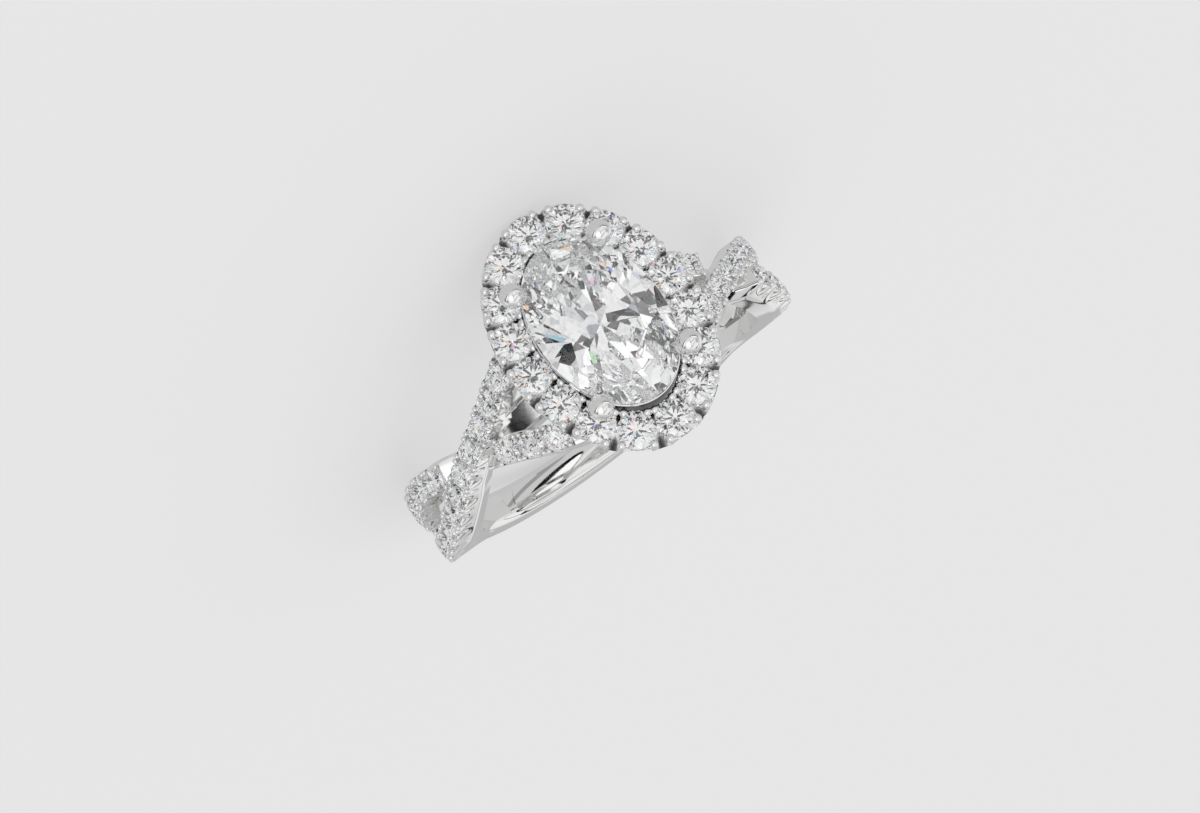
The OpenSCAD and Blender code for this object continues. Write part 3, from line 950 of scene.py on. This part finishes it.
def brilliant(len_x, len_y, depth_of, steps):
    """Points and faces of a brilliant cut with its girdle at height 0, which has so many steps a facet."""
    crown, half_girdle, pavilion = CROWN * depth_of, GIRDLE * depth_of / 2, PAVILION * depth_of
    slope = (crown - half_girdle) / (1 - TABLE)
    size = np.array([len_x / 2, len_y / 2, 1])
    turn = 2 * math.pi / MAINS

    def at(r, a, z):
        return np.array([r * math.cos(a), r * math.sin(a), z]) * size

    star_z = crown - (STAR_R * math.cos(turn / 2) - TABLE) * slope
    lower_z = -half_girdle - pavilion * (1 - LOWER_HALF_R * math.cos(turn / 2))
    table = [at(TABLE, k * turn, crown) for k in range(MAINS)]
    stars = [at(STAR_R, (k + 0.5) * turn, star_z) for k in range(MAINS)]
    lowers = [at(LOWER_HALF_R, (k + 0.5) * turn, lower_z) for k in range(MAINS)]
    upper, under = [], []
    for j in range(2 * MAINS):
        k = j // 2
        a, b = j * turn / 2, (j + 1) * turn / 2
        for i in range(steps):
            t = a + (b - a) * i / steps
            rim = at(1, t, 0)
            high = plane_z(stars[k], at(1, a, half_girdle), at(1, b, half_girdle), rim)
            low = plane_z(lowers[k], at(1, a, -half_girdle), at(1, b, -half_girdle), rim)
            upper.append(np.array([rim[0], rim[1], high]))
            under.append(np.array([rim[0], rim[1], low]))
    rim_count = len(upper)
    points = table + stars + upper + under + lowers + [np.array([0, 0, -half_girdle - pavilion])]
    star, high_rim = MAINS, 2 * MAINS
    low_rim, lower = high_rim + rim_count, high_rim + 2 * rim_count
    tip = lower + MAINS
    faces = [tuple(range(MAINS))]
    for k in range(MAINS):
        ahead, behind = (k + 1) % MAINS, (k - 1) % MAINS
        corner = 2 * k * steps
        faces.append((k, star + k, ahead))
        faces.append((k, star + behind, high_rim + corner, star + k))
        faces.append((tip, lower + k, low_rim + corner, lower + behind))
        for j in (2 * k, 2 * k + 1):
            rim = [(j * steps + i) % rim_count for i in range(steps + 1)]
            faces.append((star + k, *[high_rim + i for i in rim]))
            faces.append((lower + k, *[low_rim + i for i in rim[::-1]]))
    for i in range(rim_count):
        k = (i + 1) % rim_count
        faces.append((high_rim + i, low_rim + i, low_rim + k, high_rim + k))
    return np.array(points), faces


def stone_piece(name, stones, replaces):
    """One piece of stones, each given as (cut, origin, three axes), in place of CAD nodes."""
    shape = Shape()
    for (points, faces), origin, axes in stones:
        shape.add(points @ np.asarray(axes, float) + origin, faces)
    return shape.piece(name, DIAMOND, smooth=False, slot="diamond", replaces=replaces)


def build_centre_stone():
    width, length = 2 * CENTRE_SHOWN_HALF
    cut = brilliant(width, length, 2 * CENTRE_HALF[0], CENTRE_GIRDLE_STEPS)
    stone_piece("centre_diamond", [(cut, (0, 0, CENTRE_Z), np.eye(3))], ["centre_stone"])


def build_halo_stones():
    cut = brilliant(HALO_SHOWN_D, HALO_SHOWN_D, HALO_SHOWN_D, SMALL_GIRDLE_STEPS)
    girdle_z = PLATE_TOP + GIRDLE * HALO_SHOWN_D / 2
    for i in range(HALO_COUNT):
        turn = halo_turn_at(i * HALO_PITCH)
        p, a = oval_point(HALO_HALF, turn), math.radians(float(turn))
        axes = [(math.cos(a), math.sin(a), 0), (-math.sin(a), math.cos(a), 0), (0, 0, 1)]
        stone = (cut, (p[0], p[1], girdle_z), axes)
        stone_piece(f"halo_diamond_{i + 1:02d}", [stone], [f"halo_stone_{i + 1:02d}"])


def build_strand_stones():
    cut = brilliant(STRAND_SHOWN_D, STRAND_SHOWN_D, STRAND_SHOWN_D, SMALL_GIRDLE_STEPS)
    for half, turned in HALVES.items():
        for level, (side, lift, spans) in LEVELS.items():
            stones = []
            for s in strand_stone_rows(spans):
                angle = np.array(float(angle_at(s)))
                out = outward(angle)
                axes = [np.cross((0, 1, 0), out), (0, 1, 0), out]
                origin = axis_point(angle, strand_top(angle, lift), side)
                stones.append((cut, half_turn(origin, turned), half_turn(axes, turned)))
            stone_piece(f"pave_diamonds_{half}_{level}", stones, [f"pave_{half}_{level}"])


build_centre_stone()
build_halo_stones()
build_strand_stones()

# The CAD mount is hidden, and keeps the same finish for the export
for slot in frame["nodes"]["ring_mount"].material_slots:
    slot.material = METAL


# Floor, light and camera

FLOOR_TONE = (0.8, 0.8, 0.8, 1)
FLOOR_LIT = 0.6
FLOOR_REACH = 2.0
FLOOR_GAP = 0.00002


def build_floor():
    """A plain pale floor that the ring's own reflections don't show."""
    mesh = bpy.data.meshes.new("floor")
    corners = ((-1, -1), (1, -1), (1, 1), (-1, 1))
    z = cad_low.z - FLOOR_GAP
    mesh.from_pydata([(x * FLOOR_REACH, y * FLOOR_REACH, z) for x, y in corners], [], [(0, 1, 2, 3)])
    material = bpy.data.materials.new("floor")
    material.use_nodes = True
    n = Nodes(material.node_tree)
    out = n.add("ShaderNodeOutputMaterial")
    matt = n.add("ShaderNodeBsdfDiffuse")
    matt.inputs["Color"].default_value = FLOOR_TONE
    lit = n.add("ShaderNodeEmission")
    lit.inputs["Color"].default_value = FLOOR_TONE
    both = n.add("ShaderNodeMixShader")
    both.inputs[0].default_value = FLOOR_LIT
    n.link(matt.outputs[0], both.inputs[1])
    n.link(lit.outputs[0], both.inputs[2])
    n.link(both.outputs[0], out.inputs["Surface"])
    mesh.materials.append(material)
    floor = bpy.data.objects.new("floor", mesh)
    floor.visible_glossy = False
    floor.visible_transmission = False
    bpy.context.scene.collection.objects.link(floor)


def unit(azimuth, elevation):
    """The direction at these degrees, azimuth 0 being where -Y points."""
    a, e = math.radians(azimuth), math.radians(elevation)
    return (math.sin(a) * math.cos(e), -math.cos(a) * math.cos(e), math.sin(e))


ROOM_LOW = 0.78
ROOM_HIGH = 0.98
# Lights and dark flags round the ring, each an oval area of direction: azimuth, elevation, lean, half-length
# and half-height in degrees, softness of the edge as a share, brightness. A later one covers an earlier one.
STUDIO_AREAS = [
    (0, 90, 0, 40, 40, 0.5, 0.95),
    (0, -90, 0, 60, 60, 0.4, 0.6),
    (35, 40, 0, 16, 16, 0.8, 1.25),
    (-145, 62, 0, 9, 7, 0.6, 0.45),
    (-172, -18, 0, 30, 18, 0.25, 0.5),
    (150, 30, 0, 25, 25, 0.8, 0.6),
    (-75, 32, 0, 12, 12, 0.8, 0.5),
    (80, 10, 0, 10, 14, 0.8, 0.35),
    (-57, 3.5, -11, 37, 9, 0.03, 0.01),
    (-55, 5.5, -12, 33, 5.5, 0.04, 1.1),
    (-60, -14, -8, 45, 2, 0.3, 0.35),
    (57, 3.5, 11, 37, 9, 0.03, 0.01),
    (55, 5.5, 12, 33, 5.5, 0.04, 1.1),
    (8, 45, 70, 30, 1.3, 0.5, 0.01),
    (-28, 30, 20, 26, 1.2, 0.5, 0.01),
    (-5, 70, 30, 30, 1.3, 0.5, 0.01),
    (100, 40, 70, 40, 1.5, 0.5, 0.01),
    (-110, 40, -60, 40, 1.5, 0.5, 0.01),
    (170, 45, 0, 45, 1.6, 0.5, 0.01),
    (-160, 28, 30, 25, 1.2, 0.5, 0.05),
]


def oval_share(n, direction, azimuth, elevation, lean, half_length, half_height, softness):
    """1 inside an oval area of direction, 0 outside it."""
    middle = np.array(unit(azimuth, elevation))
    flat = np.cross((0, 0, 1), middle) if abs(elevation) < 89 else np.array((1.0, 0, 0))
    flat /= np.linalg.norm(flat)
    rise = np.cross(middle, flat)
    a = math.radians(lean)
    along = flat * math.cos(a) + rise * math.sin(a)
    up = rise * math.cos(a) - flat * math.sin(a)
    far = n.math("MULTIPLY", n.dot(direction, tuple(along)), 1 / math.sin(math.radians(half_length)))
    high = n.math("MULTIPLY", n.dot(direction, tuple(up)), 1 / math.sin(math.radians(half_height)))
    reach = n.math("SQRT", n.math("MULTIPLY_ADD", far, far, n.math("MULTIPLY", high, high)))
    inside = n.span(reach, 1, 1 + softness, 1, 0)
    return n.math("MULTIPLY", inside, n.math("GREATER_THAN", n.dot(direction, tuple(middle)), 0))


def studio_for_metal(n, direction):
    """A bright room with softly bounded lights and a few dark flags."""
    up = n.dot(direction, (0, 0, 1))
    value = n.span(up, -0.2, 0.6, ROOM_LOW, ROOM_HIGH)
    for *area, brightness in STUDIO_AREAS:
        value = n.mix(oval_share(n, direction, *area), value, brightness)
    return value


# What the cut stones throw back: the studio's panels and its few coloured glints, each tone with the place
# between 0 and 1 where it starts
PANEL_TONES = [
    (0.0, (0.001, 0.001, 0.002)),
    (0.26, (0.1, 0.115, 0.135)),
    (0.31, (0.32, 0.345, 0.375)),
    (0.39, (0.6, 0.61, 0.625)),
    (0.5, (0.78, 0.785, 0.79)),
    (0.68, (0.89, 0.89, 0.89)),
    (0.86, (1.13, 1.13, 1.13)),
]
GLINT_TONES = [
    (0.0, (0.85, 0.35, 0.72)),
    (0.16, (0.95, 0.55, 0.3)),
    (0.38, (0.4, 0.66, 0.8)),
    (0.6, (0.2, 0.24, 0.85)),
    (0.88, (0.45, 0.75, 0.45)),
]


PANEL_SCALE = 2.1
PANEL_SEED = 6.5
GLINT_SCALE = 14.0
GLINT_SEED = 7.7
GLINT_SHARE = 0.026


def stepped(n, value, tones):
    """A colour that changes in steps as the value rises."""
    ramp = n.add("ShaderNodeValToRGB")
    ramp.color_ramp.interpolation = "CONSTANT"
    steps = ramp.color_ramp.elements
    while len(steps) < len(tones):
        steps.new(0.99)
    for step, (place_at, colour) in zip(steps, tones):
        step.position = place_at
        step.color = (*colour, 1)
    n.link(value, ramp.inputs[0])
    return ramp.outputs["Color"]


def cells(n, direction, scale, seed):
    """Random values, the same all over each cell of direction."""
    moved = n.add("ShaderNodeVectorMath", operation="ADD")
    n.link(direction, moved.inputs[0])
    moved.inputs[1].default_value = (seed, seed * 0.7, seed * 1.3)
    cell = n.add("ShaderNodeTexVoronoi", feature="F1")
    n.link(moved.outputs[0], cell.inputs["Vector"])
    cell.inputs["Scale"].default_value = scale
    parts = n.add("ShaderNodeSeparateColor")
    n.link(cell.outputs["Color"], parts.inputs[0])
    return parts.outputs[0], parts.outputs[1]


def studio_for_stones(n, direction):
    """Large panels of even tone, with small coloured glints here and there."""
    panels = stepped(n, cells(n, direction, PANEL_SCALE, PANEL_SEED)[0], PANEL_TONES)
    chance, hue = cells(n, direction, GLINT_SCALE, GLINT_SEED)
    glints = stepped(n, hue, GLINT_TONES)
    return n.mix_colour(n.math("GREATER_THAN", chance, 1 - GLINT_SHARE), panels, glints)


OPEN_LIGHT = (1, 1, 1, 1)
BACKDROP = (0.8, 0.8, 0.8, 1)


def build_world():
    """Metal, stones, matt surfaces and the camera each see a surround of their own."""
    world = bpy.data.worlds.new("studio")
    bpy.context.scene.world = world
    world.use_nodes = True
    n = Nodes(world.node_tree)
    out = n.add("ShaderNodeOutputWorld")
    direction = n.add("ShaderNodeTexCoord").outputs["Generated"]
    ray = n.add("ShaderNodeLightPath")
    seen = n.background(studio_for_metal(n, direction))
    surrounds = (
        ("Is Transmission Ray", studio_for_stones(n, direction)),
        ("Is Diffuse Ray", OPEN_LIGHT),
        ("Is Camera Ray", BACKDROP),
    )
    for kind, colour in surrounds:
        choice = n.add("ShaderNodeMixShader")
        n.link(ray.outputs[kind], choice.inputs[0])
        n.link(seen, choice.inputs[1])
        n.link(n.background(colour), choice.inputs[2])
        seen = choice.outputs[0]
    n.link(seen, out.inputs["Surface"])


# The photograph's viewpoint, fitted to the ring's upright frame in millimetres: where the camera is, and
# which way its right, its up and its back point
CAMERA_PLACE = (16.709, 21.265, 104.582)
CAMERA_AXES = ((-0.7899, 0.6133, 0.0016), (-0.5937, -0.7653, 0.2489), (0.1538, 0.1956, 0.9685))
CAMERA_SENSOR = 36
CAMERA_LENS = 65.55


def build_camera():
    rows = [[axis[r] for axis in CAMERA_AXES] + [CAMERA_PLACE[r]] for r in range(3)]
    upright = Matrix(rows + [[0, 0, 0, 1]])
    lying = TURN @ upright
    lying.translation = lying.translation * MM
    data = bpy.data.cameras.new("camera")
    data.sensor_width = CAMERA_SENSOR
    data.lens = CAMERA_LENS
    data.clip_start, data.clip_end = 0.001, 10
    camera = bpy.data.objects.new("camera", data)
    camera.matrix_world = lying
    bpy.context.scene.collection.objects.link(camera)
    bpy.context.scene.camera = camera


build_floor()
build_world()
build_camera()
scene = bpy.context.scene
scene.view_settings.view_transform = "Standard"
# Light is followed far into the cut stones, or their ends turn grey
scene.cycles.max_bounces = 48
scene.cycles.glossy_bounces = 40
scene.cycles.transmission_bounces = 32
